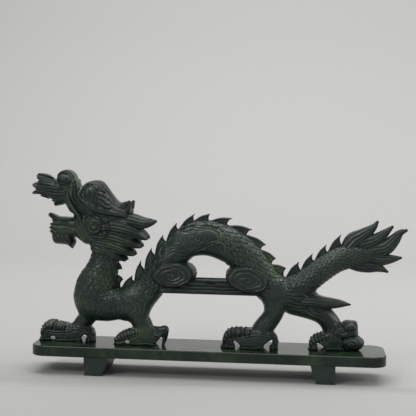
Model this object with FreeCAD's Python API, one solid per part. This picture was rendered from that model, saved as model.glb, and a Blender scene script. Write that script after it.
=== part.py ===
"""Carved dark-green jade dragon on a polished jade board with two bracket feet.

The dragon is carved from a slab and faces -X. It stands in the XZ plane, its four paws in one line along the
board, and pegs under the palms drop into shallow sockets, so the carving lifts straight off its stand.
Lengths are in millimetres. Dragon places are (x, z) from the middle of the board's top face, y is the depth,
and main() moves everything so that the origin is at the bottom centre of the whole piece.
"""
import FreeCAD, Part
import math
import os
from FreeCAD import Vector

# ---------------------------------------------------------------- driving dimensions
BOARD_LENGTH = 290.0
BOARD_DEPTH = 55.5
BOARD_THICKNESS = 8.5
BOARD_CORNER = 12.0
BOARD_CHAMFER = 0.6
BOARD_CENTRE_X = -5.0          # the tail overhangs the board more than the snout does
FOOT_HEIGHT = 15.0
FOOT_WIDTH = 20.0              # at the top, along the board
FOOT_DEPTH = 53.0
FOOT_WAIST = 6.0               # height of the waist, above which the foot is plain
HOOF_STEP = 2.1                # how far the hoof is stepped in at the waist, on its straight side
HOOF_SLOPE = 5.0               # how far the foot's other side leans in at the bottom
LEFT_FOOT_X = -90.2
RIGHT_FOOT_X = 94.2
BOARD_TOP = FOOT_HEIGHT + BOARD_THICKNESS

SOCKET_DEPTH = 1.5
SOCKET_LENGTH = 14.0
SOCKET_WIDTH = 8.0
PEG_SIDE_GAP = 0.15
PEG_END_GAP = 0.2

LEG_OFFSET = 3.0               # legs of one pair stand this far either side of the middle plane
SPINE_THICKNESS = 5.0

Y = Vector(0, 1, 0)


# ---------------------------------------------------------------- helpers
def at(x, z, y=0.0):
    return Vector(x, y, z)


def section(upper, lower, half_width, y=0.0):
    """An elliptical section that spans two points of the side view and is 2 * half_width thick."""
    top, bottom = at(*upper, y), at(*lower, y)
    centre = (top + bottom) * 0.5
    half = (top - bottom) * 0.5
    normal = half.cross(Y).normalize()
    circle = Part.Wire([Part.Circle(Vector(), Vector(0, 0, 1), 1.0).toShape()])
    matrix = FreeCAD.Matrix(
        half.x, 0, normal.x, centre.x,
        half.y, half_width, normal.y, centre.y,
        half.z, 0, normal.z, centre.z,
        0, 0, 0, 1,
    )
    return circle.transformGeometry(matrix)


def tube(stations, y=0.0):
    """A solid through elliptical sections, each (upper point, lower point, half width)."""
    return Part.makeLoft([section(a, b, w, y) for a, b, w in stations], True, False)


def outline(pieces, scale, y, centre):
    """A closed wire in the plane y. Each piece is a list of points: two make a line, more a smooth curve."""
    cx, cz = centre
    edges = []
    for piece in pieces:
        points = [at(cx + (x - cx) * scale, cz + (z - cz) * scale, y) for x, z in piece]
        if len(points) == 2:
            edges.append(Part.LineSegment(*points).toShape())
        else:
            curve = Part.BSplineCurve()
            curve.interpolate(points)
            edges.append(curve.toShape())
    return Part.Wire(edges)


def middle(pieces):
    points = [p for piece in pieces for p in piece[:-1]]
    return sum(x for x, z in points) / len(points), sum(z for x, z in points) / len(points)


def blade(pieces, thickness, edge, y=0.0, centre=None):
    """A carved blade: full outline in its middle plane, outline times edge on its two sides."""
    centre = centre or middle(pieces)
    half = thickness / 2
    wires = [outline(pieces, s, y + dy, centre) for s, dy in ((edge, -half), (1.0, 0.0), (edge, half))]
    return Part.makeLoft(wires, True, True)


def slab(pieces, thickness, y=0.0):
    """A plain slab with that outline, centred on the plane y."""
    wire = outline(pieces, 1.0, y - thickness / 2, (0, 0))
    return Part.Face(wire).extrude(Y * thickness)


def horn(points, radii, flat=1.0, y=0.0):
    """A tapered horn along points (x, y, z), with a round section of each radius, flat times as deep."""
    path = [Vector(*p) + Vector(0, y, 0) for p in points]
    wires = []
    for i, (p, r) in enumerate(zip(path, radii)):
        ahead = path[min(i + 1, len(path) - 1)] - path[max(i - 1, 0)]
        ahead.normalize()
        side = ahead.cross(Y)
        side.normalize()
        other = ahead.cross(side)
        circle = Part.Wire([Part.Circle(Vector(), Vector(0, 0, 1), 1.0).toShape()])
        wires.append(circle.transformGeometry(FreeCAD.Matrix(
            side.x * r, other.x * r * flat, ahead.x, p.x,
            side.y * r, other.y * r * flat, ahead.y, p.y,
            side.z * r, other.z * r * flat, ahead.z, p.z,
            0, 0, 0, 1,
        )))
    return Part.makeLoft(wires, True, False)


def mirrored(shape):
    """The same piece on the other side of the carving."""
    return shape.mirror(Vector(), Y)


def without(shape, *others):
    """shape with the space of the others taken out, so that they meet face to face."""
    for other in others:
        if shape.BoundBox.intersect(other.BoundBox):
            shape = shape.cut(other)
    return shape


# ---------------------------------------------------------------- the stand
def rounded_block(length, depth, height, radius):
    box = Part.makeBox(length, depth, height, Vector(-length / 2, -depth / 2, 0))
    return box.makeFillet(radius, [e for e in box.Edges if abs(e.tangentAt(e.FirstParameter).z) > 0.99])


def socket_block(x, length, width, depth):
    block = rounded_block(length, width, depth, width / 2 - 0.01)
    return block.translated(Vector(x, 0, -depth))


def base_board(socket_places):
    board = rounded_block(BOARD_LENGTH, BOARD_DEPTH, BOARD_THICKNESS, BOARD_CORNER)
    rims = [e for f in board.Faces if abs(f.normalAt(0, 0).z) > 0.99 for e in f.Edges]
    board = board.makeChamfer(BOARD_CHAMFER, rims).translated(Vector(0, 0, -BOARD_THICKNESS))
    for x, y in socket_places:
        board = board.cut(socket_block(x, SOCKET_LENGTH, SOCKET_WIDTH, SOCKET_DEPTH).translated(Y * y))
    return board


def bracket_foot(centre):
    """A foot across the board: straight outside, sloping inside, and stepped in above its flared hoof."""
    top, bottom, half = -BOARD_THICKNESS, -BOARD_TOP, FOOT_WIDTH / 2
    waist = bottom + FOOT_WAIST
    outward = math.copysign(1, centre)
    profile = [(half, top), (half, waist + 0.5), (half - HOOF_STEP, waist), (half - 0.3, bottom),
               (-half + HOOF_SLOPE, bottom), (-half + 0.76 * HOOF_SLOPE, bottom + 0.6 * FOOT_WAIST),
               (-half + 0.52 * HOOF_SLOPE, waist - 0.5), (-half, top)]
    points = [at(centre + outward * x, z, -FOOT_DEPTH / 2) for x, z in profile]
    return Part.Face(Part.makePolygon(points + points[:1])).extrude(Y * FOOT_DEPTH)


# ---------------------------------------------------------------- the long body
# Each station is the point on the back, the point on the belly and the half width there.
NECK = [((-76, 85), (-98, 90), 11.0), ((-77.5, 70), (-102.5, 70), 11.5), ((-78, 61), (-107, 60), 12.5),
        ((-77.5, 53), (-113, 50), 13.0), ((-77, 49), (-115, 39), 13.5)]
CHEST = [NECK[-1], ((-76.6, 47.2), (-111, 27), 13.8), ((-75.8, 46.2), (-94, 20.5), 13.8),
         ((-74.8, 46), (-76, 20.8), 13.5)]
SHOULDER = [CHEST[-1], ((-73.5, 46.6), (-60, 23.5), 13.5), ((-68, 49.5), (-48, 32), 13.0),
            ((-61, 55.5), (-39.5, 44), 12.8)]
RISE = [SHOULDER[-1], ((-53.5, 66), (-31.5, 56), 12.6), ((-45, 78), (-24.5, 65), 12.5),
        ((-35.5, 89), (-18.5, 71.5), 12.5)]
CREST = [RISE[-1], ((-25, 97.5), (-14, 74.5), 12.5), ((-11, 103), (-8, 75.8), 12.5),
         ((1, 103.3), (-1, 75.5), 12.5)]
FALL = [CREST[-1], ((14, 100), (6, 73.2), 12.5), ((29, 92.5), (12.5, 69.5), 12.5),
        ((41, 81.5), (19.5, 63.5), 12.8)]
LOIN = [FALL[-1], ((49.5, 70.5), (29, 53), 13.0), ((57, 62), (42, 40), 13.2),
        ((63, 58.8), (62, 30.5), 13.2)]
RUMP = [LOIN[-1], ((69, 61.5), (79, 35), 13.0), ((76, 66), (89.5, 47), 12.0)]
TAIL = [RUMP[-1], ((85.5, 73.5), (97, 57.5), 10.5), ((96.5, 81), (106, 65), 9.5),
        ((107, 86), (114, 68), 8.5)]
TAIL_TIP = [TAIL[-1], ((119, 86.5), (122, 69.5), 7.5), ((132, 85.5), (133, 74), 5.5),
            ((144, 85.5), (144, 79.5), 2.6)]
BODY = {"neck": NECK, "chest": CHEST, "shoulder": SHOULDER, "back_rise": RISE, "back_crest": CREST,
        "back_fall": FALL, "loin": LOIN, "rump": RUMP, "tail": TAIL, "tail_tip": TAIL_TIP}

# ---------------------------------------------------------------- legs
# Each leg: its y offset, then stations from the body down to the paw.
FRONT_LEFT = [((-113, 34), (-92, 28), 9.0), ((-110.5, 23), (-95.5, 20), 9.0),
              ((-111, 15.5), (-98.5, 12), 8.5), ((-111, 8), (-100, 6), 8.5)]
FRONT_RIGHT = [((-74, 33), (-47, 36), 10.0), ((-68, 21), (-50, 27), 9.5), ((-65, 13.5), (-48, 17), 9.0),
               ((-64, 7), (-48, 8), 8.5)]
REAR_LEFT = [((44, 44), (66, 34), 9.5), ((43, 29), (59, 24), 9.0), ((36, 19), (54, 15.5), 8.5),
             ((34, 9), (52, 8), 8.0)]
REAR_RIGHT = [((63, 31), (91, 50), 12.5), ((73, 28.5), (97, 43), 12.0), ((85.5, 24.5), (101.5, 33), 11.0),
              ((92.5, 18), (109, 25), 10.0), ((92.5, 8), (108, 11), 9.0)]
LEGS = {"front_left_leg": (LEG_OFFSET, FRONT_LEFT), "front_right_leg": (-LEG_OFFSET, FRONT_RIGHT),
        "rear_left_leg": (-LEG_OFFSET, REAR_LEFT), "rear_right_leg": (LEG_OFFSET, REAR_RIGHT)}

# ---------------------------------------------------------------- paws
# Side outlines of the four palms, each standing on the board, and the places of their pegs.
PAW_THICKNESS = 21.0
PAWS = {
    "front_left_paw": (LEG_OFFSET, -118, [
        [(-96, 0), (-95.8, 8.3), (-99.6, 12.9), (-112.5, 18.3)],
        [(-112.5, 18.3), (-119.2, 15.2), (-126, 15.2), (-134.2, 16.8), (-140.4, 12.9), (-142.5, 7),
         (-140.8, 0)],
        [(-140.8, 0), (-96, 0)]]),
    "front_right_paw": (-LEG_OFFSET, -58, [
        [(-37, 0), (-34.5, 8.3), (-32.2, 13.3), (-34, 15.7), (-45, 15.4), (-50, 19)],
        [(-50, 19), (-66, 14.5), (-72.5, 10.4), (-77.2, 6.5), (-77.9, 0)],
        [(-77.9, 0), (-37, 0)]]),
    "rear_left_paw": (-LEG_OFFSET, 36, [
        [(57, 0), (58.6, 6.4), (54.1, 14.1), (52, 17)],
        [(52, 17), (34.5, 17.3), (23.6, 16.4), (13.2, 14.1), (11.4, 6), (13, 0)],
        [(13, 0), (57, 0)]]),
    "rear_right_paw": (LEG_OFFSET, 96, [
        [(108, 0), (109, 8), (106, 15), (100, 18)],
        [(100, 18), (90, 14.1), (83.2, 9.5), (81.8, 5), (83.2, 0)],
        [(83.2, 0), (108, 0)]]),
}
# Claws: how far off the middle plane each row is, where it starts along the board, and which way it points.
CLAWS = {
    "front_left_claws": (LEG_OFFSET, -139, -1), "front_right_claws": (-LEG_OFFSET, -37, 1),
    "rear_left_claws": (-LEG_OFFSET, 14, -1), "rear_right_claws": (LEG_OFFSET, 84, -1),
}
CLAW_COUNT = 4
CLAW_PITCH = 5.6
# From the knuckle to the point, each place is (how far outwards, height).
CLAW_LINE = [(-5, 6.5), (0.5, 7.0), (2.5, 3.0), (1.2, 0.7)]
CLAW_RADII = [2.6, 2.4, 1.6, 0.5]

# ---------------------------------------------------------------- spines along the back
# Each spine: the valley in front of it, its tip and the valley behind it.
SPINES = {
    "neck_spines": [((-76.5, 66.5), (-73.6, 61.2), (-77.5, 59.8)),
                    ((-77.5, 58.5), (-73.2, 54.2), (-76, 50))],
    "rise_spines": [((-74, 46.5), (-65.4, 55.8), (-64.2, 52.1)),
                    ((-64.2, 52.1), (-58.3, 68.8), (-55.8, 63.3)),
                    ((-55.8, 63.3), (-49.6, 79.6), (-47.3, 75.8)),
                    ((-47.3, 75.8), (-40.3, 90.6), (-37.9, 87.1)),
                    ((-37.9, 87.1), (-28.8, 100.8), (-27.1, 96.3))],
    "crest_spines": [((-27.1, 96.3), (-13.8, 109), (-14.2, 104.3)),
                     ((-14.2, 103.5), (-1.4, 109), (-1.5, 104)),
                     ((-1.5, 103.5), (17.3, 105.7), (12.9, 100.8))],
    "fall_spines": [((12.9, 99.5), (33.6, 97.1), (29.6, 93.8)), ((29.6, 92), (45, 84.6), (40.8, 81.7)),
                    ((40.8, 80.5), (53.3, 73.8), (50.4, 70)), ((50.4, 69), (61.7, 66.7), (61.3, 60))],
    "tail_spines": [((62, 59.5), (72.9, 71.3), (74.3, 66.3)), ((74.3, 65), (84.1, 78.6), (85, 73.2)),
                    ((85, 73), (95, 86.2), (95.9, 81.1)), ((96, 80.5), (106.4, 94.4), (107.7, 87))],
}
SPINE_BULGE = 0.1              # how far its front edge swells, as a share of its length
SPINE_HOOK = 0.2               # how far its back edge is hollowed, as a share of its length
SPINE_ROOT = 6.0               # how deep its root reaches into the body

# ---------------------------------------------------------------- cloud band under the arch
BAND_TOP, BAND_BOTTOM = 55.8, 44.0
BAND_END = 39.0
BAND_THICKNESS = 21.0
BAND_GROOVES = (0.2, 0.45, 0.72)                               # heights, as shares of the bar's height
GROOVE_RADIUS = 1.0
DISC_THICKNESS = 28.0
LEFT_DISC = ((-32.6, 58.2), 18.4, 10.8)                        # centre, half length, half height
RIGHT_DISC = ((31.2, 56.4), 18.4, 11.0)
CURL_THICKNESS = 17.0
DISC_CURL = [[(-22, 66), (-19.2, 68.3), (-15.8, 67.2), (-12.9, 64.2), (-11.7, 61), (-12.9, 57)],
             [(-12.9, 57), (-16.5, 57)], [(-16.5, 57), (-15.5, 62), (-20, 64)], [(-20, 64), (-22, 66)]]

# ---------------------------------------------------------------- tail flames and the tuft on the hock
FLAMES = {
    "tail_flame_1": (8.0, [[(109.6, 85), (111.4, 91.4), (117.1, 98.2), (127.9, 101.8), (135.7, 106.9)],
                           [(135.7, 106.9), (135.4, 102.1), (133, 97.5), (128, 90)],
                           [(128, 90), (109.6, 85)]]),
    "tail_flame_2": (7.0, [[(126, 92), (132.1, 97.1), (140, 100), (148, 103.2)],
                           [(148, 103.2), (145.7, 97.9), (140.5, 91.5), (134, 86)],
                           [(134, 86), (126, 92)]]),
    "tail_flame_3": (8.0, [[(134, 88), (145.7, 94.3), (150, 98.2), (155, 101.1), (160, 101)],
                           [(160, 101), (155.7, 94.3), (150.7, 83.9), (146, 80), (137, 80)],
                           [(137, 80), (134, 88)]]),
    "tail_flame_4": (7.0, [[(133, 82), (145.4, 79.8), (156.4, 78.4)],
                           [(156.4, 78.4), (149.3, 73.9), (141, 71.5), (133, 73)], [(133, 73), (133, 82)]]),
    "tail_flame_5": (8.0, [[(120, 74), (134, 73), (141, 70.2), (145.7, 65.2)],
                           [(145.7, 65.2), (131.4, 65.1), (122, 65.6), (114, 68.6)],
                           [(114, 68.6), (120, 74)]]),
}
TUFT_THICKNESS = 16.0
HOCK_TUFT = [[(84, 46), (91.8, 43.6), (104, 42.2), (115.9, 37.7)],
             [(115.9, 37.7), (106.4, 35.4), (100, 32.7), (90, 33)], [(90, 33), (84, 46)]]
HEEL_BALL_THICKNESS = 20.0
HEEL_CURL_THICKNESS = 17.0
HEEL_BALL = [[(108, 0), (127, 0)],
             [(127, 0), (127.7, 5.5), (124.5, 11.5), (118, 13.6), (110, 12.5), (107, 8)],
             [(107, 8), (108, 0)]]
HEEL_CURL = [[(108, 10), (108, 19), (110.5, 24), (116, 25.6), (121, 23.5), (123.2, 18), (122, 11.5)],
             [(122, 11.5), (108, 10)]]

# ---------------------------------------------------------------- head
HEAD_THICKNESS = 29.0
FOREHEAD = [[(-113, 119), (-109.5, 129.5), (-103.8, 133.8), (-96.2, 135.6), (-90, 133.8), (-83, 125),
             (-77.7, 118.8), (-70, 113.5), (-64.5, 107)],
            [(-64.5, 107), (-97, 106), (-113, 108)], [(-113, 108), (-113, 119)]]
FACE = [[(-113, 108), (-97, 106), (-64.5, 107)], [(-64.5, 107), (-64, 96), (-70, 82)],
        [(-70, 82), (-82, 83), (-98, 82), (-105, 83.5), (-111, 88), (-114, 96), (-113, 108)]]
SNOUT = [[(-112, 131), (-121, 133), (-131, 134)], [(-131, 134), (-135, 127), (-132.3, 117.7), (-130, 113.3)],
         [(-130, 113.3), (-122.3, 115), (-118.5, 109.2), (-113.5, 107)], [(-113.5, 107), (-112, 131)]]
NOSE = [[(-130, 134), (-128, 140.8), (-122.3, 144.4), (-116, 141), (-112, 131.5)],
        [(-112, 131.5), (-121, 130), (-130, 134)]]
SNOUT_FAN = [[(-128, 136), (-138.5, 140.4), (-146, 140)], [(-146, 140), (-146.6, 135), (-144, 133)],
             [(-144, 133), (-147, 132.5), (-150, 131.3)], [(-150, 131.3), (-149.3, 128.5), (-146, 127)],
             [(-146, 127), (-148.5, 125), (-150, 123)], [(-150, 123), (-141, 120.4), (-131, 117.5)],
             [(-131, 117.5), (-128, 136)]]
LOWER_JAW = [[(-112, 102), (-119, 104.2), (-127, 104)], [(-127, 104), (-133, 101), (-135, 96), (-132, 91)],
             [(-132, 91), (-110, 90)], [(-110, 90), (-112, 102)]]
LIP_CURL = [[(-126, 103), (-130.8, 107), (-137.3, 105.8)], [(-137.3, 105.8), (-134, 102.5), (-131.5, 100)],
            [(-131.5, 100), (-126, 103)]]
BEARD = [[(-110, 90), (-132, 91)], [(-132, 91), (-133, 86.2), (-129.2, 81.7), (-122, 81), (-115.8, 77.8)],
         [(-115.8, 77.8), (-113.5, 83), (-114.6, 88), (-110, 90)]]
# Each blade of the head: its outline, its thickness, how big its two sides are beside its middle, and the
# point that they shrink towards, if it isn't the middle of the outline.
HEAD_BLADES = {
    "face": (FACE, HEAD_THICKNESS, 0.8, None),
    "forehead": (FOREHEAD, HEAD_THICKNESS - 2, 0.6, None),
    "snout": (SNOUT, 25.0, 0.7, None),
    "nose": (NOSE, 22.0, 0.5, None),
    "snout_fan": (SNOUT_FAN, 18.0, 0.75, (-134, 129)),
    "lower_jaw": (LOWER_JAW, 22.0, 0.75, None),
    "lip_curl": (LIP_CURL, 14.0, 0.6, None),
    "beard": (BEARD, 20.0, 0.65, None),
}
HORN_LINE = ([(-70, 5.5, 104.5), (-61, 6.5, 101.5), (-53, 7.0, 101), (-46.6, 7.2, 102.4)],
             [5.5, 4.8, 3.2, 0.6])
EAR_LINE = ([(-74, 8, 110), (-69, 8.6, 115), (-66.5, 8.8, 119.3)], [4.5, 3.2, 1.4])
EYE = (-103.0, 11.5, 127.0)
EYE_RADIUS = 4.6
CHEEK = (-104.0, 97.0)
CHEEK_RADIUS = 10.5
CHEEK_DEPTH = 8.0
CHEEK_STAND = 2.5              # how far the round cheek stands out of the face
CHEEK_ROUNDING = 2.0
MANE_THICKNESS = 23.0          # of the highest lock
MANE_TAPER = 3.0               # how much thinner each lower lock is
MANE_LOCKS = [
    [[(-66, 99), (-57, 95.4), (-51.2, 88.5)], [(-51.2, 88.5), (-58, 87.5), (-66, 84)],
     [(-66, 84), (-66, 99)]],
    [[(-66, 90), (-60, 86.5), (-55.8, 81.9)], [(-55.8, 81.9), (-64.2, 80.4), (-72, 78)],
     [(-72, 78), (-66, 90)]],
    [[(-68, 84), (-64, 80), (-60.8, 74.2)], [(-60.8, 74.2), (-70, 74.6), (-82, 78)],
     [(-82, 78), (-68, 84)]],
    [[(-72, 80), (-70.5, 74), (-69.6, 68.5)], [(-69.6, 68.5), (-77.7, 69.2), (-88, 80)],
     [(-88, 80), (-72, 80)]],
]
WHISKERS = [([(-120, 13, 132), (-115, 15, 120), (-109, 16, 112), (-97, 16.5, 106), (-88, 15.5, 104)], 1.9),
            ([(-111, 14, 127), (-109, 15.5, 118), (-103, 16.5, 111), (-94, 16.5, 107)], 1.6)]


def spine(front, tip, back):
    """A thin plate leaning tailwards: convex front edge, hollow back edge, root inside the body."""
    (fx, fz), (tx, tz), (bx, bz) = front, tip, back
    bulge = ((fx + tx) / 2 - SPINE_BULGE * (tz - fz), (fz + tz) / 2 + SPINE_BULGE * (tx - fx))
    hook = ((bx + tx) / 2 - SPINE_HOOK * (tz - bz), (bz + tz) / 2 + SPINE_HOOK * (tx - bx))
    length = math.hypot(bx - fx, bz - fz)
    inward = ((bz - fz) / length, -(bx - fx) / length)
    root = ((fx + bx) / 2 + SPINE_ROOT * inward[0], (fz + bz) / 2 + SPINE_ROOT * inward[1])
    return slab([[front, bulge, tip], [tip, hook, back], [back, root], [root, front]], SPINE_THICKNESS)


def cheek(side):
    """A round pad on the side of the face."""
    reach = HEAD_THICKNESS / 2 + CHEEK_STAND
    x, z = CHEEK
    y = reach if side > 0 else -reach + CHEEK_DEPTH
    pad = Part.makeCylinder(CHEEK_RADIUS, CHEEK_DEPTH, at(x, z, y), Vector(0, -1, 0))
    return pad.makeFillet(CHEEK_ROUNDING, [e for e in pad.Edges if abs(e.CenterOfMass.y) > reach - 0.1])


def claws(y, start, way):
    """Curved claws side by side that reach down to the board in front of a paw."""
    horns = []
    for i in range(CLAW_COUNT):
        side = y + (i - (CLAW_COUNT - 1) / 2) * CLAW_PITCH
        points = [(start + way * out, side, height) for out, height in CLAW_LINE]
        horns.append(horn(points, CLAW_RADII))
    return horns


def band():
    """The grooved bar that joins the two cloud discs."""
    height = BAND_TOP - BAND_BOTTOM
    bar = Part.makeBox(2 * BAND_END, BAND_THICKNESS, height, at(-BAND_END, BAND_BOTTOM, -BAND_THICKNESS / 2))
    for share in BAND_GROOVES:
        for y in (-BAND_THICKNESS / 2, BAND_THICKNESS / 2):
            start = at(-BAND_END, BAND_BOTTOM + share * height, y)
            bar = bar.cut(Part.makeCylinder(GROOVE_RADIUS, 2 * BAND_END, start, Vector(1, 0, 0)))
    return bar


def disc(place):
    """A lens-shaped cloud disc with an elliptical side view."""
    (x, z), rx, rz = place
    around = [(x + rx * math.cos(a), z + rz * math.sin(a)) for a in (i * math.pi / 4 for i in range(9))]
    return blade([around[:5], around[4:]], DISC_THICKNESS, 0.8)


class Carving:
    """The named solids, each cut back from those before it so that neighbours meet face to face."""

    def __init__(self):
        self.nodes = {}

    def add(self, name, *shapes):
        solids = []
        for shape in shapes:
            shape = without(shape, *[s for group in self.nodes.values() for s in group], *solids)
            solids.append(max(shape.Solids, key=lambda s: s.Volume))
        self.nodes[name] = solids


def peg(x, y):
    """A peg under a palm, a little smaller than its socket."""
    block = socket_block(x, SOCKET_LENGTH - 2 * PEG_SIDE_GAP, SOCKET_WIDTH - 2 * PEG_SIDE_GAP,
                         SOCKET_DEPTH - PEG_END_GAP)
    return block.translated(Y * y)


def build_dragon():
    dragon = Carving()
    for name, stations in BODY.items():
        dragon.nodes[name] = [tube(stations)]
    for name, (y, stations) in LEGS.items():
        dragon.add(name, tube(stations, y))
    for name, (y, peg_x, pieces) in PAWS.items():
        dragon.add(name, blade(pieces, PAW_THICKNESS, 0.8, y, centre=(middle(pieces)[0], 0)))
    dragon.add("palm_pegs", *[peg(peg_x, y) for y, peg_x, pieces in PAWS.values()])
    dragon.add("heel_ball", blade(HEEL_BALL, HEEL_BALL_THICKNESS, 0.75, LEG_OFFSET, centre=(117.5, 0)))
    dragon.add("heel_curl", blade(HEEL_CURL, HEEL_CURL_THICKNESS, 0.7, LEG_OFFSET))
    for name, (y, start, way) in CLAWS.items():
        dragon.add(name, *claws(y, start, way))
    for name, spines in SPINES.items():
        dragon.add(name, *[spine(*s) for s in spines])
    dragon.add("left_cloud_disc", disc(LEFT_DISC))
    dragon.add("right_cloud_disc", disc(RIGHT_DISC))
    dragon.add("cloud_curl", slab(DISC_CURL, CURL_THICKNESS))
    dragon.add("cloud_band", band())
    dragon.add("hock_tuft", blade(HOCK_TUFT, TUFT_THICKNESS, 0.5))
    for name, (thickness, pieces) in FLAMES.items():
        dragon.add(name, blade(pieces, thickness, 0.6))
    build_head(dragon)
    return dragon.nodes


def build_head(dragon):
    for name, (pieces, thickness, edge, centre) in HEAD_BLADES.items():
        dragon.add(name, blade(pieces, thickness, edge, centre=centre))
    locks = [blade(lock, MANE_THICKNESS - MANE_TAPER * i, 0.6) for i, lock in enumerate(MANE_LOCKS)]
    dragon.add("mane", *locks)
    points, radii = HORN_LINE
    dragon.add("horns", horn(points, radii), mirrored(horn(points, radii)))
    points, radii = EAR_LINE
    dragon.add("ears", horn(points, radii), mirrored(horn(points, radii)))
    ex, ey, ez = EYE
    dragon.add("eyes", *[Part.makeSphere(EYE_RADIUS, Vector(ex, s * ey, ez)) for s in (-1, 1)])
    dragon.add("cheeks", cheek(-1), cheek(1))
    whiskers = [horn(points, [radius] * len(points)) for points, radius in WHISKERS]
    dragon.add("whiskers", *whiskers, *[mirrored(w) for w in whiskers])


def main():
    sockets = [(peg_x, y) for y, peg_x, pieces in PAWS.values()]
    nodes = {"base_board": [base_board(sockets)],
             "left_foot": [bracket_foot(LEFT_FOOT_X)], "right_foot": [bracket_foot(RIGHT_FOOT_X)]}
    nodes.update(build_dragon())
    os.makedirs("parts", exist_ok=True)
    for name, solids in nodes.items():
        shape = solids[0] if len(solids) == 1 else Part.makeCompound(solids)
        placed = shape.translated(Vector(BOARD_CENTRE_X, 0, BOARD_TOP))
        print(name, placed.isValid(), [round(s.Volume, 1) for s in placed.Solids])
        placed.exportStep(f"parts/{name}.step")


main()
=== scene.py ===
"""Looks of the carved jade dragon on its polished jade board.

The dragon is carved from fields: each piece is a block of grid points holding the distance to the stone's
surface, made from swept tubes and rounded outlines that melt into each other, then cut with scales, ribs and
grooves, and turned into a mesh. Carving sizes are in millimetres from the middle of the board's top face
(x along the board, y depth, z up), and the side view's places are pairs (x, z).
"""

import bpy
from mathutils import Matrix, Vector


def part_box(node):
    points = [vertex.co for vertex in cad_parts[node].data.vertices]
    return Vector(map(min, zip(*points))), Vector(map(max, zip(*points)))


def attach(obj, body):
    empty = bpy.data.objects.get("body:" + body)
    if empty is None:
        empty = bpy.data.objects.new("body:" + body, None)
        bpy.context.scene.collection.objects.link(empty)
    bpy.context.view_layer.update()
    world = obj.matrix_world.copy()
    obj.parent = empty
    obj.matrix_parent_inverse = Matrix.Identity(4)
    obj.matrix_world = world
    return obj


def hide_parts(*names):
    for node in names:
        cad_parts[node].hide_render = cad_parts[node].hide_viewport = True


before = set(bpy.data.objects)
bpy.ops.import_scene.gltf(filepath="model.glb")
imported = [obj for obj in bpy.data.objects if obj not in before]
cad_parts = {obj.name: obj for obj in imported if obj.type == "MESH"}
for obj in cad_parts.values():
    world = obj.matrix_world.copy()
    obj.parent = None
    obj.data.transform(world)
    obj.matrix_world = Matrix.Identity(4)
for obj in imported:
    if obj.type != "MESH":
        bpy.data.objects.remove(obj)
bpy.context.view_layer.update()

import copy
import math

import bpy
import numpy as np
import openvdb
from mathutils import Matrix, Vector

MM = 0.001
VOXEL = 0.42  # distance between grid points, in mm
BOARD_LOW, BOARD_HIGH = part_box("base_board")
CENTRE_X = (BOARD_LOW.x + BOARD_HIGH.x) / 2 / MM
BOARD_TOP = BOARD_HIGH.z / MM
PAIR_OFFSET = 3  # of the legs of a pair, either side of the middle
FIELD_REACH = 4  # fields are kept this far from the surface, in mm
SHORTEST = 1e-9  # square of a line's length, so that nothing divides by zero
FLATTEST = 1e-5  # slope of a field, for the same reason
RIB_FADE = 2  # half height below which a tube's ribs fade out
RIB_EDGE, RIDGE_EDGE = 0.8, 1.5  # the higher, the narrower the cut
GROOVE_ENDS = 6  # a groove fades in over a sixth of its length


# ---- blocks of stone
class Block:
    """Grid points around one carving; every field is an array on them."""

    def __init__(self, x, z, half_depth):
        axes = []
        for low, high in (x, (-half_depth, half_depth), z):
            first = math.floor(low / VOXEL)
            axes.append(np.arange(first, math.ceil(high / VOXEL) + 1) * VOXEL)
        self.corner = [axis[0] for axis in axes]
        self.x = axes[0].astype(np.float32)[:, None, None]
        self.y = axes[1].astype(np.float32)[None, :, None]
        self.z = axes[2].astype(np.float32)[None, None, :]
        self.side = (self.x.size, 1, self.z.size)


def part_of(block, x, z):
    """The part of a block within those ranges, and where it lies in the block's arrays."""
    along_x = np.flatnonzero((block.x.ravel() >= x[0]) & (block.x.ravel() <= x[1]))
    along_z = np.flatnonzero((block.z.ravel() >= z[0]) & (block.z.ravel() <= z[1]))
    where = (slice(along_x[0], along_x[-1] + 1), slice(None), slice(along_z[0], along_z[-1] + 1))
    part = copy.copy(block)
    part.x, part.z = block.x[where[0]], block.z[:, :, where[2]]
    part.side = (part.x.size, 1, part.z.size)
    return part, where


# How a hand-held chisel wavers: two waves along each axis, in radians for each mm of x and of z.
WAVER_X = ((0.23, 0.61), (-0.38, 0.27))
WAVER_Z = ((0.53, 0.19), (0.24, -0.41))


def by_hand(block, amount=0.35):
    """The same block as a hand-held chisel sees it: lines drawn on it waver a little."""
    unsteady = copy.copy(block)
    unsteady.x = block.x + amount * sum(np.sin(block.x * u + block.z * w) for u, w in WAVER_X)
    unsteady.z = block.z + amount * sum(np.sin(block.x * u + block.z * w) for u, w in WAVER_Z)
    return unsteady


def spline(points, per=8):
    """Points of a smooth curve through the given rows, which may carry radii as well as places."""
    p = np.asarray(points, float)
    if len(p) == 2:
        return p
    p = np.vstack([2 * p[0] - p[1], p, 2 * p[-1] - p[-2]])
    t = np.linspace(0, 1, per, endpoint=False)[:, None]
    rows = [0.5 * (2 * b + (c - a) * t + (2 * a - 5 * b + 4 * c - d) * t**2 + (3 * b - a - 3 * c + d) * t**3)
            for a, b, c, d in zip(p, p[1:], p[2:], p[3:])]
    return np.vstack(rows + [p[-2:-1]])


def near_segment(block, start, run):
    """Where along a segment each place is nearest, 0 to 1, and its offset from there."""
    x, z = block.x - start[0], block.z - start[1]
    t = np.clip((x * run[0] + z * run[1]) / max(run @ run, SHORTEST), 0, 1)
    return t, x - t * run[0], z - t * run[1]


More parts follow.
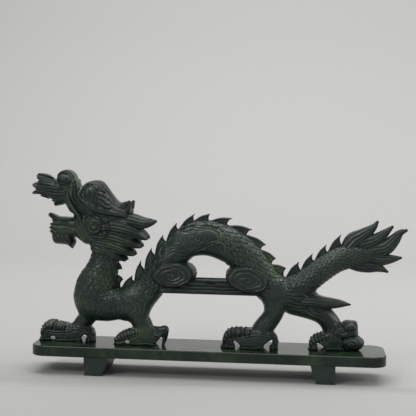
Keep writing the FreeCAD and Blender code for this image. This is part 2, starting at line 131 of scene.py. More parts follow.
def follow(block, line):
    """For each place of the side view: distance to a line, where along it, and its side (+1 is left)."""
    best = np.full(block.side, np.inf, np.float32)
    where = np.zeros_like(best)
    side = np.ones_like(best)
    for i, (a, b) in enumerate(zip(line[:-1], line[1:])):
        run = b - a
        t, dx, dz = near_segment(block, a, run)
        squared = dx * dx + dz * dz
        closer = squared < best
        best = np.where(closer, squared, best)
        where = np.where(closer, i + t, where)
        side = np.where(closer, np.sign(run[0] * dz - run[1] * dx), side)
    return np.sqrt(best), where, side


def ellipse_distance(u, v, a, b):
    """Nearly the distance to an ellipse with half axes a and b, for a point at u * a, v * b."""
    k = np.sqrt(u * u + v * v)
    return k * (k - 1) / (np.sqrt((u / a) ** 2 + (v / b) ** 2) + FLATTEST)


def tube(block, stations, ribs=0, depth=0.5, mirrored=False, per=8):
    """A swept ellipse. Rows are (x, z, half height, half depth, y); ribs are cut along it."""
    rows = spline([tuple(row) + (0,) * (5 - len(row)) for row in stations], per)
    distance, where, side = follow(block, rows[:, :2])
    knots = np.arange(len(rows))
    high, deep, y = (np.interp(where, knots, rows[:, i]).astype(np.float32) for i in (2, 3, 4))
    across = np.abs(block.y) if mirrored else block.y
    field = ellipse_distance(distance / high, (across - y) / deep, high, deep)
    if ribs:
        phase = np.clip(side * distance / high, -1, 1) * ribs * math.pi / 2 + ribs * math.pi / 2
        fade = np.clip(high / RIB_FADE, 0, 1)
        field = field + depth * fade * (1 - np.abs(np.sin(phase)))**RIB_EDGE
    return field


def outline(*pieces):
    """A closed outline. Each piece runs on from the one before: one point makes a line, more a curve."""
    starts = [pieces[-1][-1]] + [piece[-1] for piece in pieces]
    return np.vstack([spline([start, *piece], 5)[:-1] for start, piece in zip(starts, pieces)])


def inside(block, points):
    """Signed distance in the side view to a closed outline, negative inside it."""
    best = np.full(block.side, np.inf, np.float32)
    within = np.zeros(best.shape, bool)
    for a, b in zip(points, np.roll(points, -1, axis=0)):
        run = b - a
        _, dx, dz = near_segment(block, a, run)
        best = np.minimum(best, dx * dx + dz * dz)
        if a[1] != b[1]:
            crosses = (block.z >= min(a[1], b[1])) & (block.z < max(a[1], b[1]))
            within ^= crosses & (block.x < a[0] + (block.z - a[1]) * run[0] / run[1])
    return np.where(within, -np.sqrt(best), np.sqrt(best))


def pillow(block, points, half, reach, y=0):
    """A rounded slab: full thickness 2 * half from reach inside the outline, rounding off towards it."""
    u = np.maximum((inside(block, points) + reach) / reach, 0)
    return ellipse_distance(u, (block.y - y) / half, reach, half)


def ball(block, x, y, z, rx, ry, rz, mirrored=False):
    """An ellipsoid; mirrored makes one on the far side too."""
    across = np.abs(block.y) if mirrored else block.y
    u, v, w = (block.x - x) / rx, (across - y) / ry, (block.z - z) / rz
    k = np.sqrt(u * u + v * v + w * w)
    slope = np.sqrt((u / rx) ** 2 + (v / ry) ** 2 + (w / rz) ** 2) + FLATTEST
    return k * (k - 1) / slope


def melt(a, b, soft):
    """Union of two fields with a rounded valley between them."""
    h = np.clip(0.5 + 0.5 * (b - a) / soft, 0, 1)
    return b * (1 - h) + a * h - soft * h * (1 - h)


def melt_all(fields, soft):
    result = fields[0]
    for field in fields[1:]:
        result = melt(result, field, soft)
    return result


def grooves(block, lines, width, depth, waver=0.35):
    """How deep the chisel cuts along lines of the side view: 2 * width wide, fading at the ends."""
    unsteady = by_hand(block, waver)
    total = np.zeros(block.side, np.float32)
    for points in lines:
        line = spline(points)[:, :2]
        distance, where, _ = follow(unsteady, line)
        last = len(line) - 1
        ends = np.clip(np.minimum(where, last - where) / last * GROOVE_ENDS, 0, 1)
        total = np.maximum(total, depth * np.clip(1 - (distance / width) ** 2, 0, 1) * ends)
    return total


def fan_of_lines(first, last, count):
    """Lines spread evenly from the first to the last."""
    first, last = np.array(first, float), np.array(last, float)
    return [first + (last - first) * i / (count - 1) for i in range(count)]


def ridges(value, depth):
    """The cut between round ridges, one for each whole step of value."""
    return depth * (1 - np.abs(np.sin(math.pi * value)))**RIDGE_EDGE


def oval(block, x, z, rx, rz, tilt):
    """Radius (1 on the rim) and angle of each place about an ellipse turned by tilt degrees."""
    c, s = math.cos(math.radians(tilt)), math.sin(math.radians(tilt))
    dx, dz = block.x - x, block.z - z
    u, v = (dx * c + dz * s) / rx, (dz * c - dx * s) / rz
    return np.sqrt(u * u + v * v), np.arctan2(v, u)


def spiral(block, x, z, rx, rz, turns, depth, start=0, tilt=0):
    """The cut of a spiral line that winds out to an ellipse."""
    radius, angle = oval(by_hand(block, 0.2), x, z, rx, rz, tilt)
    return ridges(radius * turns - (angle + start) / (2 * math.pi), depth) * (radius < 1)


def rings(block, x, z, rx, rz, count, depth, tilt=0):
    """The cuts of that many rings, one in the other, inside an ellipse."""
    radius, _ = oval(by_hand(block, 0.3), x, z, rx, rz, tilt)
    return ridges(radius * count, depth) * (radius < 1) * np.clip(radius * count, 0, 1)


# ---- jade
RUST = (0.055, 0.048, 0.018)
# Painted light: what the colour is multiplied by, a painted highlight on proud edges, the plain colour on
# level stone and painted shade in hollows.
PROUD_HIGHLIGHT, LEVEL, SUNK_SHADE = (2.7, 2.15, 2.3), (1, 1, 1), (0.12, 0.13, 0.15)
GRAIN_HEIGHT, WAVE_HEIGHT = 0.0004, 0.0012  # in metres


def grey(value):
    return (value,) * 3


def set_inputs(node, **values):
    for name, value in values.items():
        node.inputs[name].default_value = value


def jade(name, dark, mid, light, roughness, index, flecks, bump, seed):
    """Dark nephrite: cloudy greens, pale flecks, rusty skin in places, painted shade in the hollows and
    painted highlights on proud edges.
    """
    material = bpy.data.materials.new(name)
    material.use_nodes = True
    tree = material.node_tree
    nodes, link = tree.nodes, tree.links.new
    shader = nodes["Principled BSDF"]
    set_inputs(shader, IOR=index)
    coords = nodes.new("ShaderNodeTexCoord")
    shift = nodes.new("ShaderNodeMapping")
    set_inputs(shift, Location=(seed * 0.37, seed * 0.11, seed * 0.23))
    link(coords.outputs["Object"], shift.inputs["Vector"])

    def noise(scale, detail, distortion=0):
        node = nodes.new("ShaderNodeTexNoise")
        set_inputs(node, Scale=scale, Detail=detail, Distortion=distortion)
        link(shift.outputs["Vector"], node.inputs["Vector"])
        return node.outputs["Fac"]

    def ramp(value, stops):
        node = nodes.new("ShaderNodeValToRGB")
        for _ in stops[2:]:
            node.color_ramp.elements.new(0.5)
        for element, (place, colour) in zip(node.color_ramp.elements, stops):
            element.position = place
            element.color = (*colour, 1)
        link(value, node.inputs["Fac"])
        return node.outputs["Color"]

    def mix(factor, first, second, mode="MIX"):
        node = nodes.new("ShaderNodeMix")
        node.data_type = "RGBA"
        node.blend_type = mode
        sockets = (node.inputs["Factor"], node.inputs[6], node.inputs[7])
        for socket, value in zip(sockets, (factor, first, second)):
            if isinstance(value, (int, float)):
                socket.default_value = value
            elif isinstance(value, tuple):
                socket.default_value = (*value, 1)
            else:
                link(value, socket)
        return node.outputs[2]

    def bump_node(strength, height, pattern):
        node = nodes.new("ShaderNodeBump")
        set_inputs(node, Strength=strength, Distance=height)
        link(pattern, node.inputs["Height"])
        return node

    clouds = ramp(noise(scale=38, detail=6, distortion=0.6), [(0.32, dark), (0.52, mid), (0.72, light)])
    fleck_mask = ramp(noise(scale=420, detail=3, distortion=0.3), [(0.60, grey(0)), (0.72, grey(flecks))])
    colour = mix(fleck_mask, clouds, light)
    rust_mask = ramp(noise(scale=22, detail=4, distortion=0.4), [(0.58, grey(0)), (0.80, grey(0.35))])
    colour = mix(rust_mask, colour, RUST)
    hollow = nodes.new("ShaderNodeAttribute")
    hollow.attribute_name = "hollow"
    spread = nodes.new("ShaderNodeMapRange")
    spread.inputs["From Min"].default_value = -1
    spread.inputs["From Max"].default_value = 1
    link(hollow.outputs["Fac"], spread.inputs["Value"])
    depth = spread.outputs["Result"]
    # painted shade in the hollows and painted highlight on proud edges, driven by the hollow attribute
    painted_shade_and_highlight = ramp(depth, [(0.21, PROUD_HIGHLIGHT), (0.47, LEVEL), (0.70, SUNK_SHADE)])
    colour = mix(1, colour, painted_shade_and_highlight, "MULTIPLY")
    link(colour, shader.inputs["Base Color"])

    low, high = roughness
    gloss = ramp(noise(scale=60, detail=5), [(0.3, grey(low)), (0.7, grey(high))])
    dull = ramp(depth, [(0.45, grey(0)), (0.8, grey(0.35))])
    link(mix(1, gloss, dull, "ADD"), shader.inputs["Roughness"])

    grain = bump_node(bump, GRAIN_HEIGHT, noise(scale=900, detail=4))
    waves = bump_node(bump, WAVE_HEIGHT, noise(scale=160, detail=3))
    link(grain.outputs["Normal"], waves.inputs["Normal"])
    link(waves.outputs["Normal"], shader.inputs["Normal"])
    return material


DRAGON_JADE = jade(
    "dragon_jade", dark=(0.0045, 0.0145, 0.0145), mid=(0.013, 0.030, 0.021), light=(0.038, 0.070, 0.031),
    roughness=(0.24, 0.38), index=1.5, flecks=0.35, bump=0.54, seed=1)
# A lighter copy of the dragon's jade for the eyes: painted highlight on the eye domes.
EYE_JADE_PAINTED_HIGHLIGHT = jade(
    "eye_jade_painted_highlight", dark=(0.012, 0.022, 0.012), mid=(0.030, 0.046, 0.020), light=(0.060, 0.082, 0.030),
    roughness=(0.14, 0.22), index=1.5, flecks=0.35, bump=0.1, seed=4)
BOARD_JADE = jade(
    "board_jade", dark=(0.007, 0.015, 0.011), mid=(0.013, 0.025, 0.014), light=(0.036, 0.062, 0.028),
    roughness=(0.07, 0.12), index=1.38, flecks=0.6, bump=0.03, seed=2)
FOOT_JADE = jade(
    "foot_jade", dark=(0.009, 0.019, 0.016), mid=(0.018, 0.033, 0.023), light=(0.045, 0.075, 0.040),
    roughness=(0.28, 0.42), index=1.5, flecks=0.45, bump=0.25, seed=3)


# ---- from field to piece
HOLLOW_GAIN = 8  # from the bend, in voxels, to the stored value
MOST_PROUD, MOST_HOLLOW = -0.6, 1


def mesh_of(block, field):
    grid = openvdb.FloatGrid(FIELD_REACH)
    grid.copyFromArray(np.clip(field, -FIELD_REACH, FIELD_REACH).astype(np.float32))
    grid.transform = openvdb.createLinearTransform(VOXEL)
    points, quads = grid.convertToQuads(isovalue=0)
    places = (points + np.array(block.corner) + (CENTRE_X, 0, BOARD_TOP)) * MM
    return places, quads[:, ::-1]


def hollows(mesh):
    """Stores at each vertex how hollow (+) or proud (-) the surface is."""
    count = len(mesh.vertices)
    places = np.empty(count * 3)
    mesh.vertices.foreach_get("co", places)
    normals = np.empty(count * 3)
    mesh.vertex_normals.foreach_get("vector", normals)
    ends = np.empty(len(mesh.edges) * 2, np.int64)
    mesh.edges.foreach_get("vertices", ends)
    places, normals, ends = places.reshape(-1, 3), normals.reshape(-1, 3), ends.reshape(-1, 2)
    degree = np.bincount(ends.ravel(), minlength=count)[:, None]

    def average(values):
        """The mean of each vertex's neighbours."""
        total = np.zeros_like(values)
        for column in range(values.shape[1]):
            total[:, column] = (np.bincount(ends[:, 0], values[ends[:, 1], column], count)
                                + np.bincount(ends[:, 1], values[ends[:, 0], column], count))
        return total / np.maximum(degree, 1)

    bend = ((average(places) - places) * normals).sum(1, keepdims=True) / (VOXEL * MM)
    for _ in range(2):
        bend = average(bend)
    layer = mesh.attributes.new("hollow", "FLOAT", "POINT")
    value = np.clip(bend[:, 0] * HOLLOW_GAIN, MOST_PROUD, MOST_HOLLOW)
    layer.data.foreach_set("value", value.astype(np.float32))


def in_scene(name, data):
    thing = bpy.data.objects.new(name, data)
    bpy.context.scene.collection.objects.link(thing)
    return thing


def smooth_object(name, places, faces, material):
    mesh = bpy.data.meshes.new(name)
    mesh.from_pydata(places, [], faces)
    mesh.polygons.foreach_set("use_smooth", np.ones(len(faces), bool))
    mesh.update()
    mesh.materials.append(material)
    return in_scene(name, mesh)


def piece(name, block, field, nodes=(), material=DRAGON_JADE, body="dragon", slot="jade_dragon"):
    """Turns a field into a piece that stands for those CAD nodes, or for the one of its name."""
    places, quads = mesh_of(block, field)
    thing = smooth_object(name, places.tolist(), quads.tolist(), material)
    hollows(thing.data)
    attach(thing, body)
    nodes = nodes or [name]
    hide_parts(*nodes)


# ---- torso
def between(upper, lower, half_depth):
    """A station whose ellipse reaches from upper to lower in the side view."""
    (ux, uz), (lx, lz) = upper, lower
    return (ux + lx) / 2, (uz + lz) / 2, math.hypot(ux - lx, uz - lz) / 2, half_depth


TORSO = [between(*row) for row in (
    ((-76, 86), (-97, 91), 10.5), ((-77.2, 70), (-100.4, 70), 11.5), ((-77.5, 61), (-104.6, 60), 12.5),
    ((-77, 52), (-110.9, 49), 13.2), ((-76.5, 47.2), (-113.3, 38), 13.5),
    ((-76.2, 46.8), (-110.4, 27), 13.8), ((-75.8, 46), (-94, 20.3), 13.8),
    ((-74.8, 46), (-76, 19.4), 13.5), ((-73, 46.6), (-60, 20), 13.5),
    ((-67.2, 48.7), (-47.6, 31.4), 13), ((-60, 54.7), (-38.6, 43.4), 12.8),
    ((-52.4, 65.3), (-31, 55.4), 12.6), ((-43.9, 77.3), (-23.5, 64.4), 12.5),
    ((-34.7, 88.3), (-17.8, 70.6), 12.5), ((-25, 97.7), (-13.6, 73.8), 12.5),
    ((-11, 103.3), (-8, 75), 12.5), ((1, 103.5), (-1, 74.7), 12.5), ((14, 100.2), (6, 72.4), 12.5),
    ((29, 92.7), (12.5, 69.2), 12.5), ((41, 81.7), (19.5, 63.5), 12.8), ((49.5, 70.5), (29, 53), 13),
    ((57, 61.6), (42, 40), 13.2), ((63, 58.4), (61, 32.5), 13.2), ((69, 61.5), (75, 38), 13),
    ((76, 66), (85.8, 48), 12), ((85.5, 73.5), (96.2, 57), 10.5), ((96.5, 81), (106.4, 64.4), 9.5),
    ((107, 86), (114, 67.6), 8.5), ((119, 87), (122, 69), 7.5), ((132, 86.5), (133, 73), 5.5),
    ((144, 85.5), (144, 79.5), 2.6))]
SCALES_ROUND = 20
SCALE_LENGTH = 0.31  # as a share of the body's half height
SCALE_LIFT = 1  # how far its free edge stands up
SCALE_SEAT = 0.55  # where the sides of its free edge lie, in rows
SCALE_POINT = 1.2  # how much further the middle of that edge reaches, in rows
SCALE_RUN = 1.7  # how far it slopes down from its free edge, in rows
SCALE_STEP = 0.14  # how far it takes to drop off at that edge, in rows
SCALE_CAMBER = 0.25  # how much lower its sides are than its middle, as a share
ROW_WAVER = (0.22, 1.7, 1.1)  # how uneven the rows are: height, and radians for each row and each lane
LANE_WAVER = (0.12, 0.9, -2.3)
COAT_REACH = 2.5  # the coat is worked out this far from the surface
BELLY_ANGLE = 2.25  # from the back ridge to where the belly plates start, in radians
BELLY_BLEND = 0.06  # over which scales give way to plates, in radians
PLATE_LENGTH = 0.42  # as a share of the body's half height
PLATE_BOW = 0.25  # how far a plate's sides bow forwards
PLATE_STEP = 0.12  # the share of a plate over which its free edge drops off
PLATE_LIFT = 0.5  # how high a plate stands, beside a scale
THIN, THICK = 3, 12  # half heights between which the coat grows to its full height


def scale_coat(u, v):
    """Height of overlapping scales, 0 to 1, whose free edges point to growing u. Rows are one apart."""
    height = np.zeros_like(u)
    done = np.zeros(u.shape, bool)
    for row in (np.floor(u) - 2, np.floor(u) - 1, np.floor(u)):
        lane = v - 0.5 * np.mod(row, 2)
        off = 2 * (lane - np.floor(lane) - 0.5)
        edge = row + SCALE_SEAT + SCALE_POINT * np.sqrt(np.maximum(1 - off * off, 0))
        left = edge - u
        covers = (left > 0) & ~done
        rise = np.clip(1 - left / SCALE_RUN, 0, 1) * np.clip(left / SCALE_STEP, 0, 1)
        rise = rise * (1 - SCALE_CAMBER * off * off)
        height = np.where(covers, rise, height)
        done |= covers
    return height


def uneven(row, lane, waver):
    height, for_row, for_lane = waver
    return height * np.sin(row * for_row + lane * for_lane)


def torso(block):
    """The body's field and the coat of scales and belly plates over it."""
    rows = spline([row + (0,) for row in TORSO])
    distance, where, side = follow(block, rows[:, :2])
    knots = np.arange(len(rows))
    high, deep = (np.interp(where, knots, rows[:, i]).astype(np.float32) for i in (2, 3))
    field = ellipse_distance(distance / high, block.y / deep, high, deep)

    steps = np.hypot(*np.diff(rows[:, :2], axis=0).T) / ((rows[1:, 2] + rows[:-1, 2]) / 2)
    run = np.interp(where, knots, np.concatenate([[0], np.cumsum(steps)]))
    near = np.abs(field) < COAT_REACH
    angle = np.arctan2(np.broadcast_to(block.y / deep, field.shape)[near],
                       np.broadcast_to(side * distance / high, field.shape)[near])
    along = np.broadcast_to(run, field.shape)[near]
    row, lane = along / SCALE_LENGTH, angle / (2 * math.pi) * SCALES_ROUND
    coat = scale_coat(row + uneven(row, lane, ROW_WAVER), lane + uneven(row, lane, LANE_WAVER))
    plate = np.mod(along / PLATE_LENGTH + PLATE_BOW * (math.pi - np.abs(angle)) ** 2, 1)
    plates = plate * np.clip((1 - plate) / PLATE_STEP, 0, 1)
    belly = np.clip((np.abs(angle) - BELLY_ANGLE) / BELLY_BLEND + 0.5, 0, 1)
    cover = np.zeros_like(field)
    lift = SCALE_LIFT * np.clip((np.broadcast_to(high, field.shape)[near] - THIN) / (THICK - THIN), 0.2, 1)
    cover[near] = lift * (coat * (1 - belly) + PLATE_LIFT * plates * belly)
    return field, cover


# Where the coat gives way to a carved cloud, and where it is nearly smooth.
CLOUD_PANEL = outline(
    [(-41, 80), (-35, 87), (-28, 94), (-20, 98.5), (-8, 100.2), (3, 99.4), (10, 95), (13, 89), (14, 82),
     (18, 77), (12, 70), (0, 68), (-20, 64), (-34, 64), (-40, 72)])
BREAST_PANEL = outline(
    [(-104, 36), (-92, 37), (-80, 35), (-70, 38), (-60, 40), (-45, 44), (-38, 40), (-48, 24), (-60, 12),
     (-90, 12), (-112, 20), (-112, 30)])
HAUNCH_PANEL = outline(
    [(52, 50), (62, 52), (74, 51), (86, 49), (100, 44), (110, 32), (108, 12), (80, 20), (60, 22), (40, 20),
     (44, 42)])
PANEL_RIM = 0.35  # how deep the cloud panel's border is cut

# Tufts of cut hair: first and last line, how many there are, and how deep they are cut.
HAIR = [
    ([(-103, 37), (-96.4, 34), (-95.6, 27.4), (-101, 24)],
     [(-93, 35.6), (-88.6, 32), (-88, 27), (-92.6, 24.4)], 3, 0.28),
    ([(-85, 38), (-79.4, 34.6), (-78.8, 28), (-84, 23)],
     [(-75.6, 36), (-71.6, 33), (-71, 28), (-76, 24.4)], 3, 0.28),
    ([(-67, 40.6), (-61.4, 36), (-60.6, 30), (-65, 24)],
     [(-58, 41), (-53.6, 36), (-53.4, 31), (-57.4, 25)], 3, 0.28),
    ([(-112, 33), (-108, 28), (-104, 25), (-100, 24)],
     [(-106, 38), (-103, 34), (-100, 31), (-98, 29.6)], 2, 0.3),
    ([(-60, 57), (-53, 62), (-48, 70), (-44, 78)], [(-44, 48), (-40, 54), (-38, 62), (-34, 68)], 5, 0.5),
    ([(-8.8, 80.6), (-1.7, 86.8), (8.5, 88), (13.8, 79)],
     [(-14, 77.2), (-3.7, 83.4), (5.5, 84.6), (11.6, 77.6)], 2, 0.7),
    ([(-27, 90.6), (-22.4, 96.8), (-8, 98.8), (4.2, 98.2), (9.8, 92.4), (8.4, 88.2), (0.4, 86.4)],
     [(-24.6, 90.4), (-20, 95.2), (-8, 97), (3, 96.2), (7.4, 92), (5.6, 89.6), (0, 88.6)], 2, 0.7),
    ([(-38, 80), (-30, 83), (-26, 80), (-16, 78)],
     [(-34, 74), (-28, 77.4), (-24, 75.6), (-18, 74)], 3, 0.5),
    ([(47, 40), (48, 32), (44, 24), (38, 14)], [(60, 36), (58, 29), (53, 22), (49, 14)], 3, 0.25),
    ([(60, 47), (74, 47), (86, 44.6), (96, 36)], [(62, 35), (74, 33.6), (86, 30), (95, 24)], 5, 0.5),
    ([(99, 27), (101, 22), (100.6, 16), (99, 8)], [(106, 24), (108, 19), (108.6, 13), (108, 6)], 3, 0.5),
]


# ---- legs and paws
NEAR, FAR = -PAIR_OFFSET, PAIR_OFFSET


def leg(rows, y):
    return [between(*row) + (y,) for row in rows]


LEGS = {
    "front_left": leg([((-113, 36), (-92, 30), 9), ((-111, 22.4), (-95.4, 20.5), 9),
        ((-115.4, 14.4), (-101.6, 12), 9), ((-118, 9), (-105, 4), 9)], FAR + 1),
    "front_right": leg([((-76, 35), (-46, 37.4), 11), ((-66.4, 20), (-50, 25.6), 10),
        ((-63, 13), (-47, 17), 9.5), ((-63, 7), (-46, 8), 9.5)], NEAR - 1),
    "rear_left": leg([((45, 45), (65, 36), 10.5), ((44.8, 30.6), (60.2, 25.8), 9.5),
        ((37, 19), (53.6, 15.4), 9), ((32, 10), (52, 7), 9)], NEAR - 1),
    "rear_right": leg([((58, 35.6), (84, 47), 13), ((72.6, 30), (93, 42), 12.5),
        ((85.8, 25.8), (102, 31), 11.5), ((92.6, 18), (109, 21.4), 10), ((93, 8), (112, 12), 10)], FAR),
}

TOE_PITCH = 6.6  # between neighbouring toes, across the paw
TOE = 3.1  # half height
TOE_SIZES = [(0.9, 0.85), (1, 0.95), (1.08, 1), (0.8, 0.85), (0.34, 0.4)]  # along it, beside that
TOE_BEADS = 2.5  # between the beads along a toe
BEAD_NECK, BEAD_SWELL = 0.74, 0.48
GAP_SKEW = {"front_left": -0.2, "front_right": -0.15, "rear_left": -0.04, "rear_right": 0.02}
GAP_FALL = 0.184  # how far the gaps drop towards the back, for each mm of depth
PAW_HALF = 9.4  # of a palm's width
PAW_ROUNDING = 5  # how far in from its outline a palm has its full width
PAW_EDGE = 2.3  # between the lines that follow a palm's outline
PAW_CUT = 0.7  # how deep they and the cuts between the knuckles are
KNUCKLE = 3.3  # between the knuckles along its edge

# Each paw: how far off the middle, its outline, the line that its toes follow, and the gaps under it.
PAWS = {
    "front_left": (
        FAR + 1,
        [(-96.6, 8), (-100.4, 12.6), (-106, 16), (-113, 16), (-119, 14.2), (-126, 13.2), (-134, 14.4),
         (-139.4, 12.4), (-141.4, 7), (-141, -4), (-96, -4)],
        [(-120, 10.8), (-127, 11.6), (-135.4, 12.6), (-139.4, 7.6), (-139.8, 0.8)],
        [[(-130.8, 2.2), (-131.2, -4), (-134.2, -4), (-134.8, 2.8)],
         [(-106.3, 4.6), (-103.6, 3.6), (-105, 1.3), (-105.4, -4), (-107.6, -4), (-107.4, 0),
          (-108.4, 2.4)]]),
    "front_right": (
        NEAR - 1,
        [(-36, 6), (-33.6, 12), (-35, 14.6), (-40, 13.6), (-46, 15.4), (-51, 18), (-58, 16), (-65, 12.4),
         (-71, 8.4), (-76.4, 5), (-77, -4), (-37.2, -4)],
        [(-56, 11), (-64, 9.6), (-71.2, 6.6), (-75.2, 4.2), (-76, 0.8)],
        [[(-66.4, 2.2), (-66.8, -4), (-69, -4), (-69.8, 2.7)],
         [(-38.6, 4), (-40.6, -4), (-45.2, -4), (-44.5, 0.5), (-42.4, 3.2), (-39.4, 6.8)]]),
    "rear_left": (
        NEAR - 1,
        [(58, 6), (55.5, 12.5), (51, 16), (44, 17.2), (34.5, 16.6), (23.6, 14), (16, 12.6), (12.8, 8),
         (13.4, -4), (56.6, -4)],
        [(36, 13), (27, 13), (18.4, 11.8), (14.6, 7.5), (14.2, 0.8)],
        [[(23.4, 4.6), (26.2, 0.9), (25.4, -4), (22.4, -4), (22.2, 0.7), (20.4, 5.6)],
         [(52, 4.1), (50.1, 1.9), (52, -4), (48, -4), (45.8, 2.2), (52.6, 7.6)]]),
    "rear_right": (
        FAR,
        [(113, 8), (108, 15), (100, 17), (92.4, 12.4), (87, 9), (83.6, 5), (83.8, -4), (113, -4)],
        [(104, 11.4), (97, 10.8), (89.6, 8.6), (85.4, 5.4), (85, 0.8)],
        [[(92.8, 3.4), (96.4, -0.8), (95, -4), (91, -4), (90.6, -0.5), (89.2, 4.8)]]),
}
# The thumb behind the front right paw: rows as for a tube.
THUMB = [(-48, 12.6, 3.2, 4), (-41, 13, 2.4, 3.4), (-36.2, 13.6, 2.6, 3.2), (-35.4, 10, 1.9, 2.8),
         (-36.4, 5, 1.7, 2.2), (-37.4, 0.8, 1, 1.2)]


def toe(block, line, side):
    """A beaded toe over the knuckles and down to a claw on the board."""
    rows = spline([(x, z, TOE * high, TOE * deep) for (x, z), (high, deep) in zip(line, TOE_SIZES)], 6)
    run = np.concatenate([[0], np.cumsum(np.hypot(*np.diff(rows[:, :2], axis=0).T))])
    beads = BEAD_NECK + BEAD_SWELL * np.abs(np.sin(run / TOE_BEADS * math.pi))**0.7
    beaded = [(x, z, high * b, deep * b, side) for (x, z, high, deep), b in zip(rows, beads)]
    return tube(block, beaded, per=1)


def paw(block, name):
    """A palm that stands flat on the board, cut along its outline, with three toes over its front."""
    y, edge, line, _ = PAWS[name]
    edge = outline(edge)
    distance = inside(by_hand(block, 0.25), edge)
    cuts = (distance < -0.4 * PAW_EDGE) & (distance > -3.0 * PAW_EDGE)
    knuckles = ridges((block.x + 0.5 * block.z) / KNUCKLE + 0.2 * np.sin(block.z), PAW_CUT)
    knuckles = knuckles * np.clip(distance / PAW_EDGE + 2.1, 0, 1) * np.clip(block.z / 4, 0, 1)
    field = pillow(block, edge, PAW_HALF, PAW_ROUNDING, y) + ridges(distance / PAW_EDGE, PAW_CUT) * cuts
    field = field + knuckles
    for place in (-1, 0, 1):
        field = melt(field, toe(block, line, y + place * TOE_PITCH), soft=0.6)
    if name == "front_right":
        field = melt(field, tube(block, [row + (y,) for row in THUMB]), soft=0.7)
    return field


def slanted(block, y, aside, fall):
    """The same block sheared across its depth, as a drill that enters aslant sees it."""
    sheared = copy.copy(block)
    sheared.x = block.x - aside * (block.y - y)
    sheared.z = block.z + fall * (block.y - y)
    sheared.side = (block.x.size, block.y.size, block.z.size)
    return sheared


BODY_NODES = ["neck", "chest", "shoulder", "back_rise", "back_crest", "back_fall", "loin", "rump", "tail",
              "tail_tip"]
for paw_name in PAWS:
    BODY_NODES += [f"{paw_name}_leg", f"{paw_name}_paw", f"{paw_name}_claws"]


def body_piece():
    block = Block((-146, 148), (-2, 108), 17)
    field, cover = torso(block)
    legs = melt_all([tube(block, rows) for rows in LEGS.values()], soft=2)
    unsteady = by_hand(block, 1.2)
    panel = inside(block, CLOUD_PANEL)
    smooth = np.minimum(inside(unsteady, BREAST_PANEL), inside(unsteady, HAUNCH_PANEL))
    coated = np.clip(panel / 1.2 + 0.5, 0, 1) * np.clip(smooth / 5 + 0.5, 0.12, 1)
    field = melt(field - cover * coated, legs, soft=4)
    hair = [grooves(block, fan_of_lines(*tuft), width=0.95, depth=cut, waver=0.6) for *tuft, cut in HAIR]
    cloud = rings(block, -14.4, 90, 13, 6.4, count=4, depth=0.6)
    rim = PANEL_RIM * np.clip(1 - np.abs(panel) / 0.8, 0, 1)
    field = field + np.maximum.reduce(hair) + cloud + rim
    for name, (y, edge, _, gaps) in PAWS.items():
        (left, _), (right, _) = min(edge), max(edge)
        part, where = part_of(block, (left - 5, right + 6), (-2, 27))
        nearby = melt(field[where], paw(part, name), soft=1.5)
        drill = slanted(part, y, GAP_SKEW[name], GAP_FALL)
        for gap in gaps:
            nearby = np.maximum(nearby, 0.1 - inside(drill, outline(gap)))
        field[where] = np.maximum(nearby, 0.05 - part.z)
    piece("body", block, field, BODY_NODES)


body_piece()


# ---- spines along the back
SPINES = {
    "neck_spines": [((-77.2, 68), (-73.5, 61.5), (-78.1, 60)),
        ((-78.3, 57.6), (-72.7, 53.3), (-75.1, 46.4))],
    "rise_spines": [((-74.5, 46.2), (-64.9, 57), (-63.9, 51.5)), ((-63.7, 52), (-57.9, 70), (-55.5, 62.6)),
        ((-55.3, 63.2), (-49.2, 80.8), (-47.1, 75)), ((-46.7, 75.6), (-39.9, 91.8), (-37.7, 86.2)),
        ((-37.3, 86.8), (-28.5, 102), (-26.9, 95.4))],
    "crest_spines": [((-27.1, 96.6), (-13.1, 110), (-14.5, 104.2)),
        ((-14.3, 104), (-0.7, 110), (-1.9, 104)), ((-1.5, 104), (18, 106.7), (12.9, 101))],
    "fall_spines": [((13.3, 100.4), (34.5, 97.6), (29.7, 94)), ((30.1, 93.2), (46.1, 85.1), (41.3, 81.7)),
        ((41.5, 81.5), (54.4, 74.1), (50.5, 69.6)), ((50.7, 69.4), (62.7, 66.7), (60.9, 59.4))],
    "tail_spines": [((62.5, 59.6), (73.4, 72.6), (73.9, 66)), ((74.3, 65.4), (84.6, 79.9), (84.7, 72.8)),
        ((85.3, 73.2), (95.6, 87.6), (95.5, 80.9)), ((96.1, 81), (107.2, 95.9), (107.3, 86.8))],
}
SPINE_ROOT = 4  # how deep its root reaches into the body
SPINE_SWELL = 0.08  # of the front edge, as a share of its length
SPINE_HOOK = 0.15  # of the back edge, as a share of its length
SPINE_HALF = 2.6
SPINE_RIM = 1  # width of the raised rim along its edges
SPINE_DISH = 0.7  # how deep it is dished inside the rim, on each side


def spine_outline(front, tip, back):
    """A thorn leaning tailwards: its front edge swells, its back edge is hollow, its root is in the body."""
    front, tip, back = (np.array(p, float) for p in (front, tip, back))
    rise, fall = tip - front, tip - back
    swell = (front + tip) / 2 + SPINE_SWELL * np.array([-rise[1], rise[0]])
    hook = (back + tip) / 2 + SPINE_HOOK * np.array([-fall[1], fall[0]])
    base = (back - front) / np.linalg.norm(back - front)
    deep = SPINE_ROOT * np.array([base[1], -base[0]])
    return outline([swell, tip], [hook, back], [back + deep], [front + deep], [front])


def spines(name, rows):
    points = np.array([p for row in rows for p in row])
    (x0, z0), (x1, z1) = points.min(0) - 8, points.max(0) + 2
    block = Block((x0, x1), (z0, z1), 4)
    fields = []
    for row in rows:
        edge = spine_outline(*row)
        dish = SPINE_DISH * np.clip((-inside(block, edge) - SPINE_RIM) / 0.9, 0, 1)
        fields.append(pillow(block, edge, SPINE_HALF, reach=1.8) + dish)
    piece(name, block, np.minimum.reduce(fields))


for spine_group, spine_rows in SPINES.items():
    spines(spine_group, spine_rows)


# ---- cloud band under the arch
DISC_HALF = 14.6
WHORL = 0.47  # where the rings end and the whorl starts, as a share of the disc


